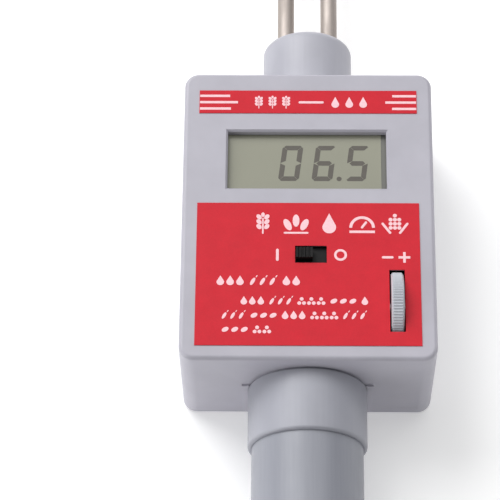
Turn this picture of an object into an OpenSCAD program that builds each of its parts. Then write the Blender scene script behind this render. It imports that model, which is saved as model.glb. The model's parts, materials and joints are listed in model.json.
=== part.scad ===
// Rod-probe grain moisture meter: a hand-held box with a display, two electrode rods and a tube handle.
// Frame: +Y points to the probe tips and +Z out of the display face. The origin is the middle of the back face.

/* [Housing] */
// Width of the housing
body_w = 78; // [76:1:84]
// Length of the housing along the handle axis
body_l = 99; // [98:1:106]
// Depth from back face to display face
body_d = 42; // [41:0.5:46]
// Wall thickness of the mouldings
wall = 2.5; // [2:0.1:2.8]
// Radius of the four upright corners
corner_r = 4.5; // [3.5:0.5:6]
// Radius of the edge round the display face
edge_r = 1.3; // [0.8:0.1:2]
// Height of the handle and probe axis above the back face
axis_z = 18.5; // [18.4:0.1:20]

/* [Probe] */
// Diameter of each electrode rod
rod_d = 5.4; // [4:0.2:6]
// Distance between the two rod axes
rod_pitch = 14.2; // [13:0.1:15]
// Bare length of the rods beyond the holder
rod_reach = 240; // [160:5:260]
// Length of the holder that stands out of the housing
nose_l = 22.3; // [16:0.1:30]
// Diameter of the holder
nose_d = 28.8; // [27:0.2:30]

/* [Handle] */
// Outer diameter of the handle tube
tube_d = 34.2; // [32:0.2:34.4]
// Length of handle tube seen between its collar and its end cap
grip_l = 88; // [60:2:120]
// Length of the collar
collar_l = 20; // [14:1:26]

/* [Hidden] */
$fn = 72;

eps = 0.01;
half_w = body_w / 2;
half_l = body_l / 2;
face_in = body_d - wall;              // inside of the display face
skin_t = 0.9;                         // wall left over the wheel and over the switch slider
label_reach = 0.3;                    // how far the label's cut-outs reach over the wall's holes

// Rear cover and its fixings
cover_t = 2.5;
cover_edge_r = 0.9;
lip_h = 3;
lip_t = 1.5;
lip_gap = 0.15;
screw_x = half_w - 5.5;
screw_y = half_l - 5.5;
boss_r = 3.4;
screw_r = 1.4;
screw_head_r = 2.8;
screw_head_h = 1.6;
screw_l = 12;

// Raised lands on the end wall, beside the handle collar
land_half_w = 20.2;
land_z = [2.8, 22.6];
land_t = 0.6;

// Battery door, a plate that slides out along +Y in grooves
door_half_w = 28.5;
door_y0 = 3;
door_t = 2.3;
door_gap = 0.2;
tongue_w = 1;
tongue_z = [1, 1.7];
thumb_groove_count = 5;

// 9 V block battery and its compartment
battery_size = [48.5, 26.2, 17.2];
battery_at = [-28, 5, 4.3];
pad_h = 1.6;
stud_pitch = 12.7;
stud_l = 3;
tray_t = 1.2;
tray_h = 12;
tray_x = 29.2;
tray_y = [door_y0 + 0.4, 32.6];

// Circuit board, held on posts of the front shell
board_t = 1.6;
board_top = 29;
board_x = 32;
board_y = [-40, 36];
board_notch = [24.1, -15.6];
post_at = [[-27.5, -34], [15, -36], [-29, 0], [29, 0]];
post_r = 3;
post_pilot_r = 1.1;
solder_l = 1.6;

// Display window and glass
window_x = [-25.1, 24.5];
window_y = [8.5, 28.6];
window_bevel = 0.6;
glass_size = [52.7, 30.5];
glass_at = [-27.4, 3.3];
glass_t = 2.2;
glass_ledge = 2.4;                    // contact strip left bare along both long edges
polariser_t = 0.2;
polariser_x = [-26.9, 22.9];
polariser_inset = 0.3;
glass_top = face_in - 0.2 - polariser_t;
pin_count = 20;
pin_pitch = 2.3;
pin_w = 0.5;

// Slide switch
switch_at = [0.85, -14.6];
switch_hole = [9.7, 5.8];
knob_size = [5.1, 3.4];
knob_travel = 4;
knob_rest_x = switch_at[0] - knob_travel / 2;
knob_top = body_d + 1.9;
knob_flange = [15, 7.6, 1];
flange_gap = 0.3;
flange_z = body_d - skin_t - 0.2 - knob_flange[2];
switch_body = [19.5, 8.6, 5.5];
groove_count = 4;                     // grooves across the knob, between its ridges
groove_pitch = 1.08;
groove_r = 0.32;

// Calibration wheel, a knurled thumbwheel on a potentiometer
slot_x = [24.7, 29.4];
slot_y = [-40.5, -19.8];
slot_relief = 1.4;                    // extra length at each end, inside the wall
wheel_r = 11.3;
wheel_t = 3.8;
wheel_at = [(slot_x[0] + slot_x[1]) / 2, (slot_y[0] + slot_y[1]) / 2, body_d - 6.15];
wheel_teeth = 80;
tooth_h = 0.28;
wheel_bevel = 0.6;
shaft_r = 2.5;
pot_size = [6.4, 11, 10.4];

// Labels
label_t = 0.25;
label_x = 34.25;
top_label_y = [34.95, 43.1];
main_label_y = [-45.1, 3.05];

// Probe holder and rods
hole_gap = 0.1;
spigot_r = 11;
spigot_end = 42;
nose_edge_r = 2.6;
rod_r = rod_d / 2;
shank_r = 2;                          // threaded end of each rod, in the holder
shank_out = 0.5;                      // its length left showing at the holder
rod_end = 32;
rod_tip = half_l + nose_l + rod_reach;
cone_l = 14;
point_r = 0.6;
ring_nut_t = 4;
holder_nut_r = 14;
nut_af = 7;
nut_h = 3.2;
nut_r = nut_af / 2 / cos(30);
washer_t = 0.7;
washer_y = spigot_end - washer_t;
lug_t = 0.6;
lug_y = washer_y - lug_t - nut_h;

// Handle
tube_r = tube_d / 2;
tube_wall = 2.4;
collar_r = tube_r + 1.2;
collar_floor = 3;
collar_groove = 0.8;                  // shadow gap where the collar meets the wall
collar_spigot_r = 10;
collar_spigot_l = 9;
collar_nut_r = 12.5;
cap_skirt = 14;
cap_end = 4;
cap_edge_r = 3;
tube_y = [-half_l - collar_l - grip_l - cap_skirt, -half_l - collar_floor];

// Wire routes, all inside the housing
wire_r = 0.65;
red_route = [
    [25.2, 22, 19.1], [25.2, 22, 21], [24.4, 21.8, 23.2], [22, 20.8, 25], [20.2, 20, 26.4], [20.2, 20, 27.36]
];
black_route = [
    [25.2, 14, 19.1], [25.2, 14, 21], [25, 13, 23.4], [23, 12.2, 25.2], [21.2, 12, 26.4], [21.2, 12, 27.36]
];
probe_route = [
    [14.6, 38.9, 20.6], [14.6, 38.95, 22.6], [14.4, 38.4, 24.2], [13.6, 36, 25.6], [13, 34.2, 26.6],
    [13, 34.2, 27.36]
];

// ---------- Shared shapes ----------

// Rectangle with true round corners, from x0 to x1 and y0 to y1
module round_rect(x, y, r) {
    translate([x[0] + r, y[0]]) square([x[1] - x[0] - 2 * r, y[1] - y[0]]);
    translate([x[0], y[0] + r]) square([x[1] - x[0], y[1] - y[0] - 2 * r]);
    for (cx = [x[0] + r, x[1] - r], cy = [y[0] + r, y[1] - r]) translate([cx, cy]) circle(r);
}

// Section of a block from its middle line out to width w, with its top outer edge rounded
module edge_section(w, h, r) {
    square([w, h - r]);
    square([w - r, h]);
    translate([w - r, h - r]) circle(r);
}

// Block centred in X and Y, with upright corners of radius R and its top edge rounded by r
module round_block(w, l, h, R, r) {
    for (s = [0, 180]) rotate([0, 0, s]) {
        translate([0, l / 2 - R, 0]) rotate([90, 0, 0]) linear_extrude(l - 2 * R) edge_section(w / 2, h, r);
        translate([-w / 2 + R, l / 2 - R, 0]) rotate([90, 0, 90]) linear_extrude(w - 2 * R) edge_section(R, h, r);
        for (c = [[w / 2 - R, l / 2 - R, 0], [-w / 2 + R, l / 2 - R, 90]])
            translate([c[0], c[1], 0]) rotate([0, 0, c[2]]) rotate_extrude(angle = 90) edge_section(R, h, r);
    }
}

// Rectangular hole whose mouth widens by b at the top, from z0 up to z1
module bevelled_hole(x, y, z0, z1, b) {
    module side(a) polygon([
        [a[0], z0], [a[1], z0], [a[1], z1 - b], [a[1] + b + eps, z1 + eps], [a[0] - b - eps, z1 + eps],
        [a[0], z1 - b]
    ]);
    intersection() {
        translate([0, y[1] + 2 * b, 0]) rotate([90, 0, 0]) linear_extrude(y[1] - y[0] + 4 * b) side(x);
        translate([x[0] - 2 * b, 0, 0]) rotate([90, 0, 90]) linear_extrude(x[1] - x[0] + 4 * b) side(y);
    }
}

// Rod of radius r along Y, from y0 to y1, on the handle and probe axis shifted by x
module y_rod(r, y0, y1, x = 0, z = axis_z) {
    translate([x, y0, z]) rotate([-90, 0, 0]) cylinder(h = y1 - y0, r = r);
}

// Body of revolution about the handle and probe axis: profile points are [radius, y]
module y_turned(fn = 96) {
    translate([0, 0, axis_z]) rotate([-90, 0, 0]) rotate_extrude($fn = fn) children();
}

// Countersunk screw standing in +Z, with a cross recess in its head at z = 0
module screw(r, head_r, head_h, l) {
    difference() {
        union() {
            cylinder(h = head_h, r1 = head_r, r2 = r);
            cylinder(h = l, r = r);
        }
        for (a = [0, 90]) rotate([0, 0, a])
            translate([-head_r * 0.6, -0.25, -eps]) cube([head_r * 1.2, 0.5, 0.7]);
    }
}

function unit(v) = v / norm(v);
function mix_dir(path, i) = unit(path[min(i + 1, len(path) - 1)] - path[max(i - 1, 0)]);

// Wire of radius r along a path that never runs along X
module wire(path, r, sides = 8) {
    rings = [for (i = [0 : len(path) - 1])
        let (t = mix_dir(path, i), u = unit(cross(t, [1, 0, 0])), v = cross(t, u))
        for (k = [0 : sides - 1]) path[i] + r * (cos(360 * k / sides) * u + sin(360 * k / sides) * v)];
    last = (len(path) - 1) * sides;
    polyhedron(rings, concat(
        [[for (k = [sides - 1 : -1 : 0]) k]],
        [for (i = [0 : len(path) - 2], k = [0 : sides - 1])
            [i * sides + k, i * sides + (k + 1) % sides, (i + 1) * sides + (k + 1) % sides]],
        [for (i = [0 : len(path) - 2], k = [0 : sides - 1])
            [i * sides + k, (i + 1) * sides + (k + 1) % sides, (i + 1) * sides + k]],
        [[for (k = [0 : sides - 1]) last + k]]
    ));
}

// ---------- Housing ----------

module at_cover_screws() {
    for (x = [-screw_x, screw_x], y = [-screw_y, screw_y]) translate([x, y, 0]) children();
}

module at_posts() {
    for (p = post_at) translate([p[0], p[1], 0]) children();
}

module front_shell() color([0.69, 0.69, 0.73]) {
    difference() {
        translate([0, 0, cover_t]) round_block(body_w, body_l, body_d - cover_t, corner_r, edge_r);
        translate([0, 0, cover_t - eps]) linear_extrude(face_in - cover_t + eps)
            round_rect([-half_w + wall, half_w - wall], [-half_l + wall, half_l - wall], corner_r - wall / 2);
        bevelled_hole(window_x, window_y, face_in - 1, body_d, window_bevel);
        wheel_opening();
        switch_opening();
        y_rod(spigot_r + hole_gap, half_l - wall - 1, half_l + 1);
        y_rod(collar_spigot_r + hole_gap, -half_l - 1, -half_l + wall + 1);
    }
    difference() {
        union() {
            at_cover_screws() translate([0, 0, cover_t + eps]) cylinder(h = face_in - cover_t, r = boss_r);
            at_posts() translate([0, 0, board_top]) cylinder(h = face_in - board_top + eps, r = post_r);
        }
        at_cover_screws() translate([0, 0, cover_t - 1]) cylinder(h = screw_l + 1, r = screw_r);
        at_posts() translate([0, 0, board_top - 1]) cylinder(h = 7, r = post_pilot_r);
    }
    for (s = [-1, 1]) collar_land(s);
}

// Slot in the display face for the wheel, with a longer pocket inside
module wheel_opening() {
    x = slot_x[0] - label_reach;
    w = slot_x[1] - slot_x[0] + 2 * label_reach;
    translate([x, slot_y[0] - label_reach, face_in]) cube([w, slot_y[1] - slot_y[0] + 2 * label_reach, wall + 1]);
    translate([x, slot_y[0] - slot_relief, face_in - 1])
        cube([w, slot_y[1] - slot_y[0] + 2 * slot_relief, wall + 1 - skin_t]);
}

// Hole in the display face for the switch knob, with a pocket inside that its flange slides in
module switch_opening() {
    translate([switch_at[0], switch_at[1], body_d])
        cube([switch_hole[0] + 2 * label_reach, switch_hole[1] + 2 * label_reach, 3 * wall], center = true);
    translate([switch_at[0], switch_at[1], face_in - 1 + (wall + 1 - skin_t) / 2])
        cube([knob_flange[0] + knob_travel + 2 * flange_gap, knob_flange[1] + 2 * flange_gap, wall + 1 - skin_t],
            center = true);
}

// Raised land on the end wall at one side of the handle collar; s is -1 or 1
module collar_land(s) {
    inner = 12;
    difference() {
        translate([s > 0 ? inner : -land_half_w, -half_l - land_t, land_z[0]])
            cube([land_half_w - inner, land_t + 0.5, land_z[1] - land_z[0]]);
        y_rod(collar_r + 0.1, -half_l - land_t - 1, -half_l + 1);
    }
}

module tray_wall(x, y) {
    translate([x[0], y[0], cover_t - eps]) cube([x[1] - x[0], y[1] - y[0], tray_h]);
}

module rear_cover() color([0.67, 0.67, 0.71]) {
    difference() {
        union() {
            translate([0, 0, cover_t]) mirror([0, 0, 1])
                round_block(body_w, body_l, cover_t, corner_r, cover_edge_r);
            lip();
            tray_wall([-tray_x - tray_t, tray_x + tray_t], [tray_y[0] - tray_t, tray_y[0]]);
            tray_wall([-tray_x - tray_t, tray_x + tray_t], [tray_y[1], tray_y[1] + tray_t]);
            for (x = [-tray_x - tray_t, tray_x])
                tray_wall([x, x + tray_t], [tray_y[0] - tray_t, tray_y[1] + tray_t]);
        }
        translate([-door_half_w, door_y0, -1]) cube([2 * door_half_w, body_l, cover_t + 1 + eps]);
        translate([-door_half_w - tongue_w - door_gap, door_y0, tongue_z[0] - door_gap])
            cube([2 * (door_half_w + tongue_w + door_gap), body_l, tongue_z[1] - tongue_z[0] + 2 * door_gap]);
        translate([-door_half_w, tray_y[1] + tray_t, 0]) cube([2 * door_half_w, body_l, cover_t + lip_h + 1]);
        at_cover_screws() translate([0, 0, -1]) cylinder(h = cover_t + lip_h + 2, r = screw_r + 0.2);
        at_cover_screws() translate([0, 0, -eps])
            cylinder(h = screw_head_h, r1 = screw_head_r + 0.2, r2 = screw_r + 0.2);
    }
}

// Rim of the rear cover that centres it inside the shell, cleared round the screw bosses
module lip() {
    x = half_w - wall - lip_gap;
    y = half_l - wall - lip_gap;
    difference() {
        translate([0, 0, cover_t - eps]) linear_extrude(lip_h) difference() {
            round_rect([-x, x], [-y, y], corner_r - wall / 2);
            round_rect([-x + lip_t, x - lip_t], [-y + lip_t, y - lip_t], 1);
        }
        at_cover_screws() translate([0, 0, cover_t]) cylinder(h = lip_h + 1, r = boss_r + 0.3);
    }
}

module cover_screws() color([0.72, 0.72, 0.74])
    at_cover_screws() translate([0, 0, 0.05]) screw(screw_r - 0.03, screw_head_r, screw_head_h, screw_l - 1);

module battery_door() color([0.67, 0.67, 0.71]) {
    x = door_half_w - door_gap;
    y0 = door_y0 + door_gap;
    difference() {
        union() {
            translate([-x, y0, 0]) cube([2 * x, half_l - y0, door_t]);
            translate([-x - tongue_w, y0, tongue_z[0]])
                cube([2 * (x + tongue_w), half_l - corner_r - y0, tongue_z[1] - tongue_z[0]]);
        }
        for (i = [0 : thumb_groove_count - 1])
            translate([0, half_l - 16 + 2.2 * i, 0]) rotate([0, 90, 0])
                cylinder(h = 22 - 2 * i, r = 0.6, center = true);
        translate([-x - 1, half_l - cover_edge_r, 0]) rotate([45, 0, 0])
            translate([0, 0, -2]) cube([2 * x + 2, 3, 2]);
    }
}

// ---------- Battery ----------

module battery() color([0.16, 0.17, 0.2]) {
    b = battery_size;
    translate(battery_at) rotate([90, 0, 90]) linear_extrude(b[0]) round_rect([0, b[1]], [0, b[2]], 2);
}

module stud(side, r) {
    b = battery_size;
    translate([battery_at[0] + b[0], battery_at[1] + b[1] / 2 + side * stud_pitch / 2, battery_at[2] + b[2] / 2])
        rotate([0, 90, 0]) cylinder(h = stud_l, r = r);
}

module battery_terminals() color([0.8, 0.8, 0.8]) {
    stud(-1, 2.9);
    stud(1, 4.1);
}

module battery_pad() color([0.2, 0.2, 0.2])
    translate([battery_at[0] + 2, battery_at[1] + 2, battery_at[2] - pad_h])
        cube([battery_size[0] - 4, battery_size[1] - 4, pad_h]);

module battery_snap() color([0.08, 0.08, 0.08]) {
    b = battery_size;
    x = battery_at[0] + b[0] + 0.1;
    difference() {
        translate([x, battery_at[1] + 0.5, battery_at[2] + 2]) cube([5.6, b[1] - 1, 12.6]);
        translate([0.05, 0, 0]) stud(-1, 3);
        translate([0.05, 0, 0]) stud(1, 4.2);
    }
}

module battery_lead_red() color([0.75, 0.08, 0.08]) wire(red_route, wire_r);
module battery_lead_black() color([0.08, 0.08, 0.08]) wire(black_route, wire_r);

// ---------- Circuit board ----------

module circuit_board() color([0.1, 0.38, 0.2]) difference() {
    translate([-board_x, board_y[0], board_top - board_t])
        cube([2 * board_x, board_y[1] - board_y[0], board_t]);
    translate([board_notch[0], board_y[0] - 1, board_top - board_t - 1])
        cube([board_x, board_notch[1] - board_y[0] + 1, board_t + 2]);
    at_posts() translate([0, 0, board_top - board_t - 1]) cylinder(h = board_t + 2, r = post_pilot_r + 0.3);
}

module board_screws() color([0.75, 0.72, 0.6])
    at_posts() translate([0, 0, board_top - board_t]) {
        translate([0, 0, -1.4]) cylinder(h = 1.4, r = 2.3);
        cylinder(h = 6, r = post_pilot_r - 0.02);
    }

module display_glass() color([0.42, 0.42, 0.38]) {
    translate([glass_at[0], glass_at[1], glass_top - glass_t])
        cube([glass_size[0], glass_size[1], glass_t / 2]);
    translate([glass_at[0], glass_at[1] + glass_ledge, glass_top - glass_t / 2])
        cube([glass_size[0], glass_size[1] - 2 * glass_ledge, glass_t / 2]);
}

// Film on the front glass that stops short of its right end
module display_polariser() color([0.62, 0.64, 0.55]) {
    edge = glass_ledge + polariser_inset;
    translate([polariser_x[0], glass_at[1] + edge, glass_top])
        cube([polariser_x[1] - polariser_x[0], glass_size[1] - 2 * edge, polariser_t]);
}

module display_pins() color([0.8, 0.8, 0.78]) {
    first_x = glass_at[0] + (glass_size[0] - pin_pitch * (pin_count - 1)) / 2;
    for (i = [0 : pin_count - 1], y = [glass_at[1] + 0.6, glass_at[1] + glass_size[1] - 0.6 - pin_w])
        translate([first_x + i * pin_pitch - pin_w / 2, y, board_top])
            cube([pin_w, pin_w, glass_top - glass_t - board_top]);
}

// Dual in-line chip with its body centred at p
module dip_chip(p, body, pins, row) {
    translate([p[0] - body[0] / 2, p[1] - body[1] / 2, board_top + 0.6]) cube(body);
    for (i = [0 : pins - 1], s = [-1, 1])
        translate([p[0] + (i - (pins - 1) / 2) * 2.54 - 0.25, p[1] + s * row / 2 - 0.25, board_top])
            cube([0.5, 0.5, 2.4]);
}

module adc_chip() color([0.1, 0.1, 0.11]) dip_chip([-2, 18.6], [51, 14, 4], 20, 14);
module timer_chip() color([0.1, 0.1, 0.11]) dip_chip([-14.5, -5.6], [9.6, 6.4, 3.4], 4, 6.4);

module electrolytic_capacitors() color([0.12, 0.14, 0.3])
    for (p = [[-22.4, -11.6], [-22.4, -19.6]]) translate([p[0], p[1], board_top]) cylinder(h = 8, r = 3.1);

module film_capacitors() color([0.62, 0.25, 0.1])
    for (p = [[-8, -24], [0, -24], [8, -24]]) translate([p[0] - 3.6, p[1] - 1.5, board_top]) cube([7.2, 3, 6.5]);

module resistors() color([0.72, 0.66, 0.5])
    for (i = [0 : 5]) translate([-16 + 4 * i, -31, board_top + 1.4]) rotate([90, 0, 0]) {
        cylinder(h = 6.2, r = 1.15, center = true);
        cylinder(h = 9.4, r = 0.3, center = true);
        for (s = [-1, 1]) translate([0, -1.4, s * 4.4]) rotate([-90, 0, 0]) cylinder(h = 1.4, r = 0.3);
    }

module trimmer_pot() color([0.1, 0.25, 0.6]) difference() {
    translate([9, -6.6, board_top]) cube([9.5, 9.5, 4.6]);
    translate([13.75, -1.85, board_top + 3.4]) cylinder(h = 2, r = 2);
}

module trimmer_screw() color([0.8, 0.66, 0.3]) difference() {
    translate([13.75, -1.85, board_top + 3.4]) cylinder(h = 1, r = 1.95);
    translate([11.5, -2.1, board_top + 4]) cube([4.5, 0.5, 1]);
}

// ---------- Slide switch ----------

module switch_base() color([0.35, 0.22, 0.12])
    translate([switch_at[0] - switch_body[0] / 2, switch_at[1] - switch_body[1] / 2, board_top])
        cube([switch_body[0], switch_body[1], 2]);

module switch_frame() color([0.75, 0.75, 0.77]) difference() {
    translate([switch_at[0] - switch_body[0] / 2, switch_at[1] - switch_body[1] / 2, board_top + 2])
        cube([switch_body[0], switch_body[1], switch_body[2]]);
    translate([switch_at[0] - switch_body[0] / 2 + 0.6, switch_at[1] - switch_body[1] / 2 + 0.6, board_top + 1])
        cube([switch_body[0] - 1.2, switch_body[1] - 1.2, switch_body[2] + 0.4]);
    translate([switch_at[0] - 6, switch_at[1] - 2, board_top + 4]) cube([12, 4, switch_body[2]]);
}

module switch_terminals() color([0.8, 0.8, 0.8])
    for (i = [-1 : 1]) translate([switch_at[0] + 4.7 * i - 0.4, switch_at[1] - 1, board_top - board_t - solder_l])
        cube([0.8, 2, solder_l - eps]);

module switch_knob() color([0.09, 0.09, 0.1]) {
    y = switch_at[1];
    difference() {
        translate([knob_rest_x - knob_size[0] / 2, y - knob_size[1] / 2, flange_z])
            cube([knob_size[0], knob_size[1], knob_top - flange_z]);
        for (i = [0 : groove_count - 1])
            translate([knob_rest_x + (i - (groove_count - 1) / 2) * groove_pitch, y, knob_top])
                rotate([90, 0, 0]) cylinder(h = knob_size[1] + 1, r = groove_r, center = true);
    }
    translate([knob_rest_x - knob_flange[0] / 2, y - knob_flange[1] / 2, flange_z]) cube(knob_flange);
    translate([knob_rest_x - 1.6, y - 1.7, board_top + 4]) cube([3.2, 3.4, flange_z - board_top - 4 + eps]);
}

// ---------- Calibration wheel ----------

module knurled_disc() {
    polygon([for (i = [0 : 2 * wheel_teeth - 1])
        let (r = wheel_r - (i % 2) * tooth_h, a = 360 * i / (2 * wheel_teeth)) [r * cos(a), r * sin(a)]]);
}

module calibration_wheel() color([0.72, 0.72, 0.75])
    translate(wheel_at) rotate([0, 90, 0]) difference() {
        intersection() {
            translate([0, 0, -wheel_t / 2]) linear_extrude(wheel_t) knurled_disc();
            rotate_extrude() polygon([
                [0, -wheel_t / 2], [wheel_r - wheel_bevel, -wheel_t / 2], [wheel_r + eps, -wheel_t / 2 + wheel_bevel],
                [wheel_r + eps, wheel_t / 2 - wheel_bevel], [wheel_r - wheel_bevel, wheel_t / 2], [0, wheel_t / 2]
            ]);
        }
        cylinder(h = wheel_t + 1, r = shaft_r, center = true);
    }

module wheel_shaft() color([0.78, 0.78, 0.8])
    translate([wheel_at[0] - wheel_t / 2 - 2.5, wheel_at[1], wheel_at[2]]) rotate([0, 90, 0]) {
        cylinder(h = wheel_t + 3.1, r = shaft_r - 0.02);
        translate([0, 0, wheel_t + 2.6]) cylinder(h = 0.6, r = shaft_r + 0.6);
    }

module potentiometer_body() color([0.2, 0.24, 0.2]) difference() {
    translate([wheel_at[0] - wheel_t / 2 - 0.5 - pot_size[0], wheel_at[1] - pot_size[1] / 2, board_top])
        cube(pot_size);
    translate([wheel_at[0] - wheel_t / 2 - 2.7, wheel_at[1], wheel_at[2]])
        rotate([0, 90, 0]) cylinder(h = 4, r = shaft_r + 0.05);
}

module potentiometer_terminals() color([0.8, 0.8, 0.8])
    for (i = [-1 : 1]) translate([wheel_at[0] - 5.4, wheel_at[1] + 3.5 * i - 0.4, board_top - board_t - solder_l])
        cube([0.5, 0.8, solder_l - eps]);

// ---------- Labels ----------

module top_label() color([0.83, 0.2, 0.26])
    translate([-label_x, top_label_y[0], body_d]) cube([2 * label_x, top_label_y[1] - top_label_y[0], label_t]);

module main_label() color([0.83, 0.2, 0.26]) difference() {
    translate([-label_x, main_label_y[0], body_d]) cube([2 * label_x, main_label_y[1] - main_label_y[0], label_t]);
    translate([switch_at[0], switch_at[1], body_d]) cube([switch_hole[0], switch_hole[1], 2], center = true);
    translate([slot_x[0], slot_y[0], body_d - 1]) cube([slot_x[1] - slot_x[0], slot_y[1] - slot_y[0], 2]);
}

// ---------- Probe ----------

module rods_cut(r) {
    for (s = [-1, 1]) y_rod(r, rod_end - 1, half_l + nose_l + 1, s * rod_pitch / 2);
}

module probe_holder() color([0.71, 0.71, 0.75]) difference() {
    union() {
        y_turned() {
            translate([0, half_l]) square([nose_d / 2, nose_l - nose_edge_r]);
            translate([0, half_l]) square([nose_d / 2 - nose_edge_r, nose_l]);
            translate([nose_d / 2 - nose_edge_r, half_l + nose_l - nose_edge_r]) circle(nose_edge_r);
        }
        y_rod(spigot_r, spigot_end, half_l + 1);
    }
    rods_cut(shank_r + 0.03);
}

module holder_nut() color([0.2, 0.2, 0.21]) difference() {
    y_rod(holder_nut_r, half_l - wall - ring_nut_t, half_l - wall);
    y_rod(spigot_r + 0.03, half_l - wall - ring_nut_t - 1, half_l);
    for (a = [0 : 45 : 135]) translate([0, half_l - wall - ring_nut_t / 2, axis_z]) rotate([0, a, 0])
        for (s = [-1, 1]) translate([s * (holder_nut_r + 0.5), 0, 0]) cube([2.4, ring_nut_t + 1, 2], center = true);
}

module probe_rod(x) {
    y_rod(shank_r, rod_end, half_l + nose_l + shank_out + eps, x);
    y_rod(rod_r, half_l + nose_l + shank_out, rod_tip - cone_l, x);
    translate([x, rod_tip - cone_l, axis_z]) rotate([-90, 0, 0]) cylinder(h = cone_l, r1 = rod_r, r2 = point_r);
}

module probe_rod_left() color([0.8, 0.76, 0.72]) probe_rod(-rod_pitch / 2);
module probe_rod_right() color([0.8, 0.76, 0.72]) probe_rod(rod_pitch / 2);

// One layer of the stack on the inner end of each rod, from y0 over height h
module on_rods(y0, h) {
    for (s = [-1, 1]) difference() {
        translate([s * rod_pitch / 2, y0, axis_z]) rotate([-90, 0, 0]) children();
        y_rod(shank_r + 0.03, y0 - 1, y0 + h + 1, s * rod_pitch / 2);
    }
}

module rod_nuts() color([0.82, 0.8, 0.74]) {
    on_rods(washer_y - nut_h, nut_h) cylinder(h = nut_h, r = nut_r, $fn = 6);
    on_rods(lug_y - nut_h + 1, nut_h - 1) cylinder(h = nut_h - 1, r = nut_r, $fn = 6);
}

module rod_washers() color([0.8, 0.8, 0.8]) on_rods(washer_y, washer_t) cylinder(h = washer_t, r = 4.4);

module solder_lugs() color([0.82, 0.78, 0.6])
    for (s = [-1, 1]) difference() {
        union() {
            y_rod(4, lug_y, lug_y + lug_t, s * rod_pitch / 2);
            translate([s * rod_pitch / 2, lug_y, axis_z]) rotate([0, s > 0 ? -20 : 200, 0])
                translate([0, 0, -1.4]) cube([8.6, lug_t, 2.8]);
        }
        y_rod(shank_r + 0.03, lug_y - 1, lug_y + lug_t + 1, s * rod_pitch / 2);
    }

module probe_lead_left() color([0.9, 0.9, 0.88]) mirror([1, 0, 0]) wire(probe_route, wire_r);
module probe_lead_right() color([0.9, 0.9, 0.88]) wire(probe_route, wire_r);

// ---------- Handle ----------

module handle_collar() color([0.68, 0.69, 0.73]) difference() {
    union() {
        y_turned() {
            translate([0, -half_l - collar_l + 1]) square([collar_r, collar_l - 1 - collar_groove]);
            translate([0, -half_l - collar_l]) square([collar_r - 0.9, collar_l]);
            translate([collar_r - 1, -half_l - collar_l + 1]) circle(1);
        }
        y_rod(collar_spigot_r, -half_l - 1, -half_l + collar_spigot_l);
    }
    y_rod(tube_r + 0.03, -half_l - collar_l - 1, -half_l - collar_floor);
    y_rod(collar_spigot_r - 2.5, -half_l - collar_l - 1, -half_l + collar_spigot_l + 1);
}

module collar_nut() color([0.2, 0.2, 0.21]) difference() {
    y_rod(collar_nut_r, -half_l + wall, -half_l + wall + ring_nut_t);
    y_rod(collar_spigot_r + 0.03, -half_l, -half_l + wall + ring_nut_t + 1);
    for (a = [0 : 45 : 135]) translate([0, -half_l + wall + ring_nut_t / 2, axis_z]) rotate([0, a, 0])
        for (s = [-1, 1]) translate([s * (collar_nut_r + 0.4), 0, 0]) cube([2, ring_nut_t + 1, 2], center = true);
}

module handle_tube() color([0.66, 0.67, 0.71]) difference() {
    y_rod(tube_r, tube_y[0], tube_y[1] - 0.05);
    y_rod(tube_r - tube_wall, tube_y[0] - 1, tube_y[1] + 1);
}

module handle_end_cap() color([0.68, 0.69, 0.73]) {
    y0 = tube_y[0] - cap_end;
    difference() {
        y_turned() {
            translate([0, y0 + cap_edge_r]) square([collar_r, cap_skirt + cap_end - cap_edge_r]);
            translate([0, y0]) square([collar_r - cap_edge_r, 10]);
            translate([collar_r - cap_edge_r, y0 + cap_edge_r]) circle(cap_edge_r);
        }
        y_rod(tube_r + 0.03, tube_y[0], tube_y[0] + cap_skirt + 1);
    }
}

// ---------- Nodes ----------

front_shell();
rear_cover();
cover_screws();
battery_door();
battery();
battery_terminals();
battery_pad();
battery_snap();
battery_lead_red();
battery_lead_black();
circuit_board();
board_screws();
display_glass();
display_polariser();
display_pins();
adc_chip();
timer_chip();
electrolytic_capacitors();
film_capacitors();
resistors();
trimmer_pot();
trimmer_screw();
switch_base();
switch_frame();
switch_terminals();
switch_knob();
potentiometer_body();
potentiometer_terminals();
calibration_wheel();
wheel_shaft();
top_label();
main_label();
probe_holder();
holder_nut();
probe_rod_left();
probe_rod_right();
rod_nuts();
rod_washers();
solder_lugs();
probe_lead_left();
probe_lead_right();
handle_collar();
collar_nut();
handle_tube();
handle_end_cap();
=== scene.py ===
"""Looks for the rod-probe grain moisture meter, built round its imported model."""
import json
import math

import bmesh
import bpy
from mathutils import Euler, Matrix, Vector


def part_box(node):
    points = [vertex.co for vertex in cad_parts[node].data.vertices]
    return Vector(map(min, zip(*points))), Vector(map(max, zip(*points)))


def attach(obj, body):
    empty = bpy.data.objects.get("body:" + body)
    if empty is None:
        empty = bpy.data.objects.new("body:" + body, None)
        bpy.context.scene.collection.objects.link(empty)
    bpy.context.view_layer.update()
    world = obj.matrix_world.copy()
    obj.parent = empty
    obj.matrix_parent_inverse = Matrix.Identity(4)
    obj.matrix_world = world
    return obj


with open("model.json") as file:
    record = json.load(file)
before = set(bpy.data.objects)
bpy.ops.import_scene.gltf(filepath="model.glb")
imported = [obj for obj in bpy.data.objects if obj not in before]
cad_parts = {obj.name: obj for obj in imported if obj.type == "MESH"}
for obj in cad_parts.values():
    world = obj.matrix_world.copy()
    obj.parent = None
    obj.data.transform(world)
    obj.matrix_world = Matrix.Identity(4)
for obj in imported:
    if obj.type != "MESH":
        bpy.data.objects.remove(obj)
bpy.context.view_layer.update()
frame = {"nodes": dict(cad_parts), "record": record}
nodes = frame["nodes"]

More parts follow.
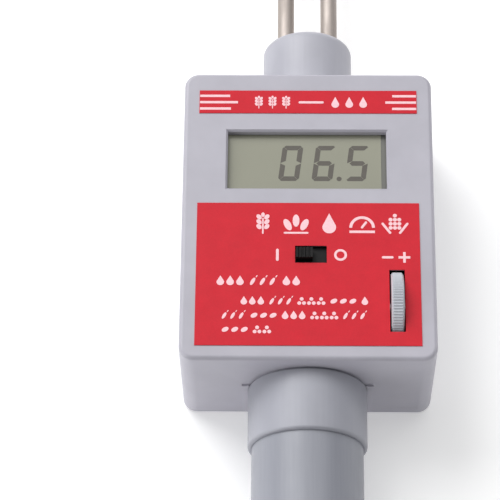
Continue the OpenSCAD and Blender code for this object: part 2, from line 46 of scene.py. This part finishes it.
MM = 0.001
LABEL_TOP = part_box("main_label")[1][2]             # top of the printed labels
DISPLAY_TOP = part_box("display_polariser")[1][2]    # top of the display's front film
PRINT_HEIGHT = 0.06 * MM                           # how far print stands above a label
READING_HEIGHT = 0.03 * MM                         # how far the reading stands above its film


# ---------- Material building ----------

def srgb(r, g, b):
    """8-bit display colour to linear RGBA."""
    def linear(c):
        c /= 255
        return c / 12.92 if c <= 0.04045 else ((c + 0.055) / 1.055) ** 2.4
    return (linear(r), linear(g), linear(b), 1.0)


def scaled(color, k):
    return tuple(min(1.0, c * k) for c in color[:3]) + (1.0,)


class Nodes:
    """A material's node tree, with short calls for the nodes used here."""

    def __init__(self, name):
        self.mat = bpy.data.materials.new(name)
        self.mat.use_nodes = True
        self.tree = self.mat.node_tree
        self.bsdf = self.tree.nodes["Principled BSDF"]

    def add(self, kind, **inputs):
        """New node, with values for its inputs, which are named with _ for a space."""
        node = self.tree.nodes.new(kind)
        for name, value in inputs.items():
            node.inputs[name.replace("_", " ")].default_value = value
        return node

    def link(self, a, b):
        self.tree.links.new(a, b)

    def noise(self, scale, detail=4, rough=0.6, stretch=(1, 1, 1)):
        """Noise fixed to the object. A stretch below 1 draws it out along that axis."""
        place = self.add("ShaderNodeTexCoord")
        mapping = self.add("ShaderNodeMapping", Scale=stretch)
        noise = self.add("ShaderNodeTexNoise", Scale=scale, Detail=detail, Roughness=rough)
        self.link(place.outputs["Object"], mapping.inputs["Vector"])
        self.link(mapping.outputs["Vector"], noise.inputs["Vector"])
        return noise.outputs["Fac"]

    def ramp(self, fac, a, b):
        """Colours a to b as noise goes from low to high."""
        node = self.add("ShaderNodeValToRGB")
        low, high = node.color_ramp.elements
        low.position, low.color = 0.3, a
        high.position, high.color = 0.7, b
        self.link(fac, node.inputs["Fac"])
        return node.outputs["Color"]

    def spread(self, fac, lo, hi):
        """Values lo to hi as noise goes from low to high."""
        node = self.add("ShaderNodeMapRange", From_Min=0.3, From_Max=0.7, To_Min=lo, To_Max=hi)
        self.link(fac, node.inputs["Value"])
        return node.outputs["Result"]

    def mix(self, fac, a, b):
        node = self.add("ShaderNodeMix")
        node.data_type = "RGBA"
        for value, socket in ((fac, node.inputs[0]), (a, node.inputs[6]), (b, node.inputs[7])):
            if isinstance(value, bpy.types.NodeSocket):
                self.link(value, socket)
            else:
                socket.default_value = value
        return node.outputs[2]

    def bump(self, height, distance, strength, under=None):
        """Normal raised by height, on top of the normal under it."""
        node = self.add("ShaderNodeBump", Strength=strength, Distance=distance)
        self.link(height, node.inputs["Height"])
        if under is not None:
            self.link(under, node.inputs["Normal"])
        return node.outputs["Normal"]

    def wear(self):
        """1 along sharp outer edges, 0 elsewhere."""
        geometry = self.add("ShaderNodeNewGeometry")
        node = self.add("ShaderNodeMapRange", From_Min=0.52, From_Max=0.62)
        self.link(geometry.outputs["Pointiness"], node.inputs["Value"])
        return node.outputs["Result"]

    def finish(self, color, rough=None, normal=None, **fixed):
        """Wires up the shader and gives its material. fixed names other sockets, with _ for a space."""
        for output, name in ((color, "Base Color"), (rough, "Roughness"), (normal, "Normal")):
            if output is not None:
                self.link(output, self.bsdf.inputs[name])
        for name, value in fixed.items():
            self.bsdf.inputs[name.replace("_", " ")].default_value = value
        return self.mat


# ---------- Materials ----------

def moulded(name, color, rough=0.42, grain=1.0, specular=0.5):
    """Moulded plastic: fine spark-eroded grain, faint cloudiness and slightly rubbed edges."""
    m = Nodes(name)
    base = m.ramp(m.noise(60, 3), scaled(color, 0.95), scaled(color, 1.05))
    base = m.mix(m.wear(), base, scaled(color, 1.12))
    normal = m.bump(m.noise(2600, 2, 0.7), 0.00002 * grain, 0.55)
    normal = m.bump(m.noise(90, 2), 0.00012, 0.2, normal)
    gloss = m.spread(m.noise(140), rough - 0.05, rough + 0.07)
    return m.finish(base, gloss, normal, Specular_IOR_Level=specular)


def painted_tube(name, color):
    """Stoved paint on a tube: faint lengthwise streaks and orange peel."""
    m = Nodes(name)
    streak = m.noise(900, 3, stretch=(1, 0.04, 1))
    base = m.ramp(streak, scaled(color, 0.965), scaled(color, 1.03))
    normal = m.bump(m.noise(700, 2), 0.00003, 0.35)
    normal = m.bump(streak, 0.00003, 0.25, normal)
    return m.finish(base, m.spread(m.noise(160), 0.34, 0.45), normal)


def label_film(name, color):
    """Printed self-adhesive film: satin, with faint mottle in the ink."""
    m = Nodes(name)
    mottle = m.ramp(m.noise(220, 5), scaled(color, 0.93), scaled(color, 1.06))
    dots = m.ramp(m.noise(2400, 2), scaled(color, 0.9), scaled(color, 1.1))
    normal = m.bump(m.noise(1500, 2), 0.00001, 0.5)
    normal = m.bump(m.noise(45, 2), 0.0002, 0.12, normal)
    gloss = m.spread(m.noise(300, 3), 0.36, 0.47)
    return m.finish(m.mix(0.35, mottle, dots), gloss, normal, Specular_IOR_Level=0.2)


def metal(name, color, rough, stretch=(1, 1, 1), metallic=1.0):
    """Bare metal: fine scratches along stretch, patchy dulling."""
    m = Nodes(name)
    scratches = m.noise(1800, 4, 0.7, stretch)
    bright = m.ramp(scratches, scaled(color, 0.86), scaled(color, 1.08))
    dull = m.ramp(m.noise(120, 5), scaled(color, 0.86), scaled(color, 1.06))
    gloss = m.spread(m.noise(260, stretch=(1, 0.2, 1)), rough - 0.06, rough + 0.12)
    return m.finish(m.mix(0.5, bright, dull), gloss, m.bump(scratches, 0.00002, 0.5), Metallic=metallic)


def laminate(name, color):
    """Solder-masked board with a faint woven glass texture."""
    m = Nodes(name)
    base = m.ramp(m.noise(900), scaled(color, 0.8), scaled(color, 1.25))
    return m.finish(base, m.spread(m.noise(400, 3), 0.3, 0.45), m.bump(m.noise(1600, 2), 0.00003, 0.4))


def ink(name, color):
    """Screen-printed ink: slightly uneven cover."""
    m = Nodes(name)
    base = m.ramp(m.noise(1500, 4, 0.7), scaled(color, 0.9), scaled(color, 1.05))
    return m.finish(base, m.spread(m.noise(900, 3), 0.42, 0.55), m.bump(m.noise(2400, 2), 0.00001, 0.4))


def display_film(name, color):
    """Reflective display seen through its polariser: warm grey-green, satin, with faint clouding."""
    m = Nodes(name)
    clouds = m.ramp(m.noise(40, 3), scaled(color, 0.96), scaled(color, 1.04))
    grain = m.ramp(m.noise(2200, 2), scaled(color, 0.97), scaled(color, 1.03))
    ripple = m.noise(60, 2)
    return m.finish(m.mix(0.2, clouds, grain), m.spread(ripple, 0.3, 0.36), m.bump(ripple, 0.00005, 0.1),
                    Coat_Weight=0.05, Coat_Roughness=0.15)


MATERIALS = {
    "housing_plastic": moulded("housing_plastic", srgb(177, 175, 185)),
    "fitting_plastic": moulded("fitting_plastic", srgb(159, 160, 169), 0.44),
    "tube_metal": painted_tube("tube_paint", srgb(145, 147, 156)),
    "wheel_plastic": moulded("wheel_plastic", srgb(181, 184, 191), 0.4, 0.6),
    "knob_plastic": moulded("knob_plastic", srgb(12, 10, 11), 0.5, 0.8, specular=0.2),
    "black_plastic": moulded("black_plastic", srgb(30, 30, 32), 0.5),
    "label_red": label_film("label_red", srgb(206, 26, 44)),
    "display_film": display_film("display_film", srgb(141, 141, 124)),
    # The bare glass beyond the polariser is dark grey. Part of that is the glass itself, and part is
    # painted shade along the window's inner edge.
    "display_glass": display_film("display_bare_glass_and_painted_shade", srgb(104, 104, 98)),
    "rod_metal": metal("rod_nickel", srgb(192, 183, 177), 0.6, (1, 0.02, 1), 0.95),
    "screw_steel": metal("screw_steel", srgb(190, 190, 192), 0.3),
    "switch_steel": metal("switch_steel", srgb(200, 200, 202), 0.3),
    "contact_metal": metal("contact_metal", srgb(210, 208, 202), 0.25),
    "brass": metal("brass", srgb(214, 178, 104), 0.3),
    "battery_can": moulded("battery_jacket", srgb(40, 42, 50), 0.35, 0.4),
    "foam": moulded("foam", srgb(38, 38, 38), 0.85, 6.0),
    "red_insulation": moulded("red_insulation", srgb(186, 24, 24), 0.45, 0.5),
    "white_insulation": moulded("white_insulation", srgb(224, 224, 220), 0.45, 0.5),
    "board_laminate": laminate("board_laminate", srgb(28, 92, 52)),
    "chip_epoxy": moulded("chip_epoxy", srgb(32, 32, 34), 0.55),
    "capacitor_sleeve": moulded("capacitor_sleeve", srgb(34, 40, 80), 0.35, 0.4),
    "capacitor_film": moulded("capacitor_film", srgb(160, 72, 32), 0.3, 0.4),
    "resistor_body": moulded("resistor_body", srgb(198, 178, 134), 0.35, 0.4),
    "trimmer_blue": moulded("trimmer_blue", srgb(36, 74, 158), 0.35, 0.4),
    "phenolic": moulded("phenolic", srgb(92, 62, 38), 0.5),
}
for subpart in frame["record"]["subparts"]:
    mesh = nodes[subpart["node"]].data
    mesh.materials.clear()
    mesh.materials.append(MATERIALS[subpart["material_slot"]])
# The probe holder is moulded a shade lighter than the handle's fittings.
nodes["probe_holder"].data.materials[0] = moulded("holder_plastic", srgb(177, 177, 186), 0.44)

PRINT_INK = ink("ink_pink", srgb(252, 205, 212))
READING_INK = ink("lcd_segment", srgb(86, 81, 73))


# ---------- Softened edges on the frame's own pieces ----------

SOFT_EDGES = {      # width in millimetres, and the pieces that have it
    0.05: ("main_label", "top_label", "display_polariser"),
    0.08: ("calibration_wheel",),
    0.1: ("display_glass",),
    0.12: ("switch_knob",),
    0.15: ("adc_chip", "timer_chip", "switch_base", "switch_frame"),
    0.2: ("rear_cover", "handle_collar", "rod_nuts", "trimmer_pot"),
    0.25: ("front_shell", "battery_door", "probe_holder", "potentiometer_body"),
    0.3: ("handle_tube", "handle_end_cap", "battery", "battery_snap"),
    0.4: ("electrolytic_capacitors",),
    0.6: ("film_capacitors",),
}


def soften(piece, width):
    """Bevels the piece's sharp edges."""
    bevel = nodes[piece].modifiers.new("soft_edge", "BEVEL")
    bevel.width = width * MM
    bevel.segments = 2
    bevel.limit_method = "ANGLE"
    bevel.angle_limit = math.radians(40)


for width, pieces in SOFT_EDGES.items():
    for piece in pieces:
        soften(piece, width)


# ---------- Outlines, as lists of points in millimetres ----------

def curve(cx, cy, rx, ry, start, end, steps):
    """Points along an ellipse between two angles in radians, with both ends."""
    angles = [start + (end - start) * i / steps for i in range(steps + 1)]
    return [(cx + rx * math.cos(t), cy + ry * math.sin(t)) for t in angles]


def oval(cx, cy, rx, ry, turn=0.0, steps=20):
    c, s = math.cos(turn), math.sin(turn)
    upright = curve(0, 0, rx, ry, 0, 2 * math.pi, steps)[:-1]
    return [(cx + x * c - y * s, cy + x * s + y * c) for x, y in upright]


def rect(x0, y0, x1, y1):
    return [(x0, y0), (x1, y0), (x1, y1), (x0, y1)]


def bar(ax, ay, bx, by, w):
    """Straight stroke of width w with rounded ends."""
    turn = math.atan2(by - ay, bx - ax)
    quarter = math.pi / 2
    far_end = curve(bx, by, w / 2, w / 2, turn - quarter, turn + quarter, 6)
    near_end = curve(ax, ay, w / 2, w / 2, turn + quarter, turn + 3 * quarter, 6)
    return far_end + near_end


def arch(cx, cy, r, w):
    """Half ring of stroke width w, standing on its ends."""
    outer = curve(cx, cy, r + w / 2, r + w / 2, 0, math.pi, 16)
    inner = curve(cx, cy, r - w / 2, r - w / 2, 0, math.pi, 16)
    return outer + inner[::-1]


def cross(cx, cy, r, k):
    """Plus sign that reaches r from its centre, with arms 2k wide."""
    out = []
    quarter = [(r, k), (k, k), (k, r)]
    for _ in range(4):
        out += [(cx + x, cy + y) for x, y in quarter]
        quarter = [(-y, x) for x, y in quarter]
    return out


def teardrop(cx, cy, rx, ry, tip, past, steps):
    """Oval drawn up to a point at height tip. Its curve stops past degrees above level at each side."""
    return curve(cx, cy, rx, ry, math.radians(-180 - past), math.radians(past), steps) + [(cx, tip)]


# ---------- Flat print, as thin raised pieces ----------

def vertex_loop(bm, outline, z):
    return [bm.verts.new((x * MM, y * MM, z)) for x, y in outline]


def band(bm, a, b):
    """Closed strip of faces between two loops of vertices."""
    for i in range(len(a)):
        bm.faces.new((a[i - 1], a[i], b[i], b[i - 1]))


def add_plate(bm, outline, low, high):
    """Closed plate between two heights."""
    bottom = vertex_loop(bm, outline, low)
    top = vertex_loop(bm, outline, high)
    bm.faces.new(bottom)
    bm.faces.new(top)
    band(bm, bottom, top)


def add_ring(bm, ring, low, high):
    """Closed ring between two heights. ring holds its centre's x and y, its radius and its stroke width."""
    cx, cy, r, w = ring
    edges = ((r - w / 2, low), (r + w / 2, low), (r + w / 2, high), (r - w / 2, high))
    loops = [vertex_loop(bm, oval(cx, cy, radius, radius, steps=32), z) for radius, z in edges]
    for a, b in zip(loops, loops[1:] + loops[:1]):
        band(bm, a, b)


def flat_piece(name, outlines, z, height, material, rings=()):
    """One object made of thin plates and rings that stand on z."""
    mesh = bpy.data.meshes.new(name)
    bm = bmesh.new()
    for outline in outlines:
        add_plate(bm, outline, z, z + height)
    for ring in rings:
        add_ring(bm, ring, z, z + height)
    bmesh.ops.recalc_face_normals(bm, faces=bm.faces)
    bm.to_mesh(mesh)
    bm.free()
    mesh.materials.append(material)
    obj = bpy.data.objects.new(name, mesh)
    bpy.context.scene.collection.objects.link(obj)
    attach(obj, "housing")


# ---------- Display reading, 06.5 ----------

DIGIT_H = 12.5
DIGIT_W = 6.5
SEGMENT_W = 1.6
SEGMENT_GAP = 0.06                        # half the gap where two segments meet
CORNER_CUT = 0.9                          # cut across a digit's outer corners
SLANT = math.tan(math.radians(7))
LIT = {"0": "abcdef", "5": "acdfg", "6": "acdefg"}
READING_Y = 12.3                          # foot of the digits


def mirror_x(points):
    return [(DIGIT_W - x, y) for x, y in points]


def mirror_y(points):
    return [(x, DIGIT_H - y) for x, y in points]


def segment_outlines():
    """Mitred segments a to g of an upright digit with its lower left corner at 0, 0."""
    w, h, t, gap, cut = DIGIT_W, DIGIT_H, SEGMENT_W, SEGMENT_GAP, CORNER_CUT
    mid, half = h / 2, t / 2
    top = [(cut + gap, h), (w - cut - gap, h), (w - cut / 2 - gap, h - cut / 2),
           (w - t - gap, h - t), (t + gap, h - t), (cut / 2 + gap, h - cut / 2)]
    upper = [(0, mid + gap), (0, h - cut - gap), (cut / 2, h - cut / 2 - gap),
             (t, h - t - gap), (t, mid + half + gap)]
    middle = [(half, mid), (t, mid - half), (w - t, mid - half),
              (w - half, mid), (w - t, mid + half), (t, mid + half)]
    lower = mirror_y(upper)
    return {"a": top, "b": mirror_x(upper), "c": mirror_x(lower), "d": mirror_y(top),
            "e": lower, "f": upper, "g": middle}


def digit(figure, x0, y0):
    """Lit segments of a slanted figure with its lower left corner at x0, y0."""
    segments = segment_outlines()
    return [[(x0 + x + y * SLANT, y0 + y) for x, y in segments[letter]] for letter in LIT[figure]]


reading = digit("0", -9.4, READING_Y) + digit("6", 1.05, READING_Y) + digit("5", 11.45, READING_Y)
reading.append(oval(9.7, READING_Y + 0.75, 0.8, 0.8))
flat_piece("reading_digits", reading, DISPLAY_TOP, READING_HEIGHT, READING_INK)


# ---------- Pictograms, each drawn round cx, cy and about h tall ----------

def wheat_ear(cx, cy, h):
    """Ear of grain: a stalk with paired kernels and a top kernel."""
    out = [bar(cx, cy - h * 0.48, cx, cy + h * 0.24, h * 0.07)]
    for pair in range(3):
        level = cy - h * 0.16 + pair * h * 0.24
        for side in (-1, 1):
            out.append(oval(cx + side * h * 0.17, level, h * 0.1, h * 0.14, -side * 0.7))
    out.append(oval(cx, cy + h * 0.43, h * 0.08, h * 0.11))
    return out


def seed_fan(cx, cy, h):
    """Three seeds fanned out over a line."""
    foot = cy - h * 0.46
    out = [bar(cx - h * 0.5, foot, cx + h * 0.5, foot, h * 0.09)]
    for dx, dy, turn in ((-0.37, -0.06, 0.45), (0.0, 0.14, 0.0), (0.37, -0.06, -0.45)):
        out.append(oval(cx + dx * h, cy + dy * h, h * 0.15, h * 0.3, turn))
    return out


def drop(cx, cy, h):
    """Water drop."""
    return [teardrop(cx, cy - h * 0.18, h * 0.3, h * 0.3, cy + h / 2, 35, 20)]


def gauge(cx, cy, h):
    """Dial with a needle, on a base line."""
    dial = arch(cx, cy - h * 0.2, h * 0.5, h * 0.13)
    needle = bar(cx, cy - h * 0.18, cx + h * 0.17, cy + h * 0.06, h * 0.11)
    base = rect(cx - h * 0.56, cy - h * 0.46, cx + h * 0.56, cy - h * 0.34)
    return [dial, needle, base]


def corn_cob(cx, cy, h):
    """Cob with rows of kernels between two husk leaves."""
    out = []
    for row, half in enumerate((1, 1, 1, 0)):
        level = cy - h * 0.2 + row * h * 0.2
        for column in range(-half, half + 1):
            out.append(oval(cx + column * h * 0.19, level, h * 0.09, h * 0.09))
    for side in (-1, 1):
        out.append(bar(cx + side * h * 0.22, cy - h * 0.44, cx + side * h * 0.54, cy, h * 0.11))
    return out


# ---------- Seeds for the rows, each from x rightwards, round y and about h tall ----------

def slim_grain(x, y, h):
    """Slanted grain with a bristle."""
    return [oval(x + h * 0.3, y - h * 0.08, h * 0.15, h * 0.38, -0.5),
            bar(x + h * 0.6, y + h * 0.34, x + h * 0.68, y + h * 0.46, h * 0.09)]


def small_seeds(x, y, h):
    """Three round seeds in a triangle."""
    return [oval(x + h * dx, y + h * dy, h * 0.19, h * 0.19) for dx, dy in
            ((0.2, -0.26), (0.66, -0.26), (0.43, 0.18))]


def bean(x, y, h):
    """Plump lying bean."""
    return [oval(x + h * 0.42, y - h * 0.04, h * 0.36, h * 0.23, 0.5)]


def pip(x, y, h):
    """Pointed seed."""
    return [teardrop(x + h * 0.36, y - h * 0.14, h * 0.32, h * 0.3, y + h * 0.46, 40, 14)]


SEED_WIDTH = {slim_grain: 0.76, small_seeds: 0.88, bean: 0.86, pip: 0.76}      # as a share of the height


def seed_row(x0, x1, y, h, kinds):
    """Seeds from x0 to x1, three of each kind in turn."""
    out = []
    x = x0
    count = 0
    while x < x1 - h * 0.7:
        kind = kinds[count // 3 % len(kinds)]
        out += kind(x, y, h)
        x += h * (SEED_WIDTH[kind] + 0.07)
        count += 1
        if count % 3 == 0:
            x += h * 0.3
    return out


# ---------- Main label ----------

SEED_ROWS = (      # from x, to x, y, height, kinds of seed
    (-28.0, -2.4, -23.6, 3.6, (pip, slim_grain)),
    (-20.6, 20.4, -30.3, 3.1, (pip, slim_grain, small_seeds, bean)),
    (-26.3, 20.6, -35.1, 3.1, (slim_grain, bean, pip, small_seeds)),
    (-26.3, -10.8, -39.8, 3.1, (bean, small_seeds)),
)

PICTURE_Y = -4.1
PICTURE_H = 7.0
SWITCH_MARK_Y = -14.85
WHEEL_MARK_Y = -15.6

main_print = []
for picture, x in ((wheat_ear, -13.9), (seed_fan, -3.7), (drop, 6.5), (gauge, 16.6), (corn_cob, 26.7)):
    main_print += picture(x, PICTURE_Y, PICTURE_H)
for row in SEED_ROWS:
    main_print += seed_row(*row)
on_mark = bar(-9.4, SWITCH_MARK_Y - 1.65, -9.4, SWITCH_MARK_Y + 1.65, 0.85)
off_mark = (9.9, SWITCH_MARK_Y, 1.6, 0.75)
minus_mark = bar(22.9, WHEEL_MARK_Y, 25.7, WHEEL_MARK_Y, 0.8)
plus_mark = cross(29.4, WHEEL_MARK_Y, 1.8, 0.4)
main_print += [on_mark, minus_mark, plus_mark]
flat_piece("main_label_print", main_print, LABEL_TOP, PRINT_HEIGHT, PRINT_INK, rings=[off_mark])


# ---------- Top label: three rules at each side of a row of pictograms ----------

STRIP_Y = 38.8
STRIP_END = 34.1       # outer end of every rule
RULE_HALF = 0.42       # half a rule's width
RULES = (              # y, inner end of the left rule, inner end of the right rule
    (41.1, -24.6, 26.6),
    (STRIP_Y, -22.1, 24.4),
    (36.5, -24.3, 26.5),
)

strip = []
for y, left, right in RULES:
    strip.append(rect(-STRIP_END, y - RULE_HALF, left, y + RULE_HALF))
    strip.append(rect(right, y - RULE_HALF, STRIP_END, y + RULE_HALF))
for x in (-15.5, -11.2, -6.9):
    strip += wheat_ear(x, STRIP_Y, 4.4)
for x in (8.6, 13.0, 17.4):
    strip += drop(x, STRIP_Y, 4.0)
strip.append(bar(-2.6, STRIP_Y, 4.6, STRIP_Y, 0.8))
flat_piece("top_label_print", strip, LABEL_TOP, PRINT_HEIGHT, PRINT_INK)


# ---------- Camera, floor and light ----------

CAMERA_AT = (-0.00628, -0.3318, 0.6865)     # metres
CAMERA_TURN = (26.316, 0.735, 0.582)        # degrees about X, Y and Z, from straight down
CAMERA_LENS = 169.1                         # millimetres


def link_new(name, data):
    """New object in the scene, from its data."""
    obj = bpy.data.objects.new(name, data)
    bpy.context.scene.collection.objects.link(obj)
    return obj


def add_camera():
    camera = link_new("camera", bpy.data.cameras.new("camera"))
    camera.data.sensor_width = 36
    camera.data.lens = CAMERA_LENS
    camera.data.clip_start = 0.01
    turn = Euler([math.radians(angle) for angle in CAMERA_TURN])
    camera.matrix_world = Matrix.LocRotScale(Vector(CAMERA_AT), turn, None)
    bpy.context.scene.camera = camera


def add_floor():
    """Pale floor just under the meter, with a faint glow that keeps the shadows light."""
    half, z = 4, -0.0002
    mesh = bpy.data.meshes.new("floor")
    mesh.from_pydata([(x, y, z) for x, y in rect(-half, -half, half, half)], [], [(0, 1, 2, 3)])
    m = Nodes("floor")
    pale = m.ramp(m.noise(3, 2), (0.86, 0.86, 0.86, 1), (0.89, 0.89, 0.89, 1))
    mesh.materials.append(m.finish(pale, Roughness=0.75, Specular_IOR_Level=0.2,
                                   Emission_Color=(1, 1, 1, 1), Emission_Strength=0.3))
    link_new("floor", mesh)


def add_lamp(name, kind, at, power, spread):
    """Lamp aimed at the housing. spread is an area's side in metres, or a sun's angle in degrees."""
    data = bpy.data.lights.new(name, kind)
    data.energy = power
    if kind == "SUN":
        data.angle = math.radians(spread)
    else:
        data.size = spread
    lamp = link_new(name, data)
    lamp.location = at
    lamp.rotation_euler = (Vector((0, 0, 0.02)) - Vector(at)).to_track_quat("-Z", "Y").to_euler()


def add_surroundings(wall, room):
    """World that is as bright as wall round the horizon and as room overhead."""
    world = bpy.data.worlds.new("studio")
    bpy.context.scene.world = world
    world.use_nodes = True
    tree = world.node_tree
    coords = tree.nodes.new("ShaderNodeTexCoord")
    split = tree.nodes.new("ShaderNodeSeparateXYZ")
    fade = tree.nodes.new("ShaderNodeMapRange")
    for name, value in (("From Min", 0.12), ("From Max", 0.26), ("To Min", wall), ("To Max", room)):
        fade.inputs[name].default_value = value
    tree.links.new(coords.outputs["Generated"], split.inputs["Vector"])
    tree.links.new(split.outputs["Z"], fade.inputs["Value"])
    tree.links.new(fade.outputs["Result"], tree.nodes["Background"].inputs["Strength"])
    tree.nodes["Background"].inputs["Color"].default_value = (0.98, 0.99, 1.0, 1)


add_camera()
add_floor()
add_surroundings(wall=0.85, room=0.12)
add_lamp("key", "SUN", (-0.5, 0.6, 0.75), 2.0, 40)
add_lamp("top", "AREA", (0.15, 0.4, 1.25), 9.5, 1.4)
add_lamp("left", "AREA", (-1.1, -0.7, 0.4), 5.4, 0.7)
bpy.context.scene.view_settings.view_transform = "Standard"
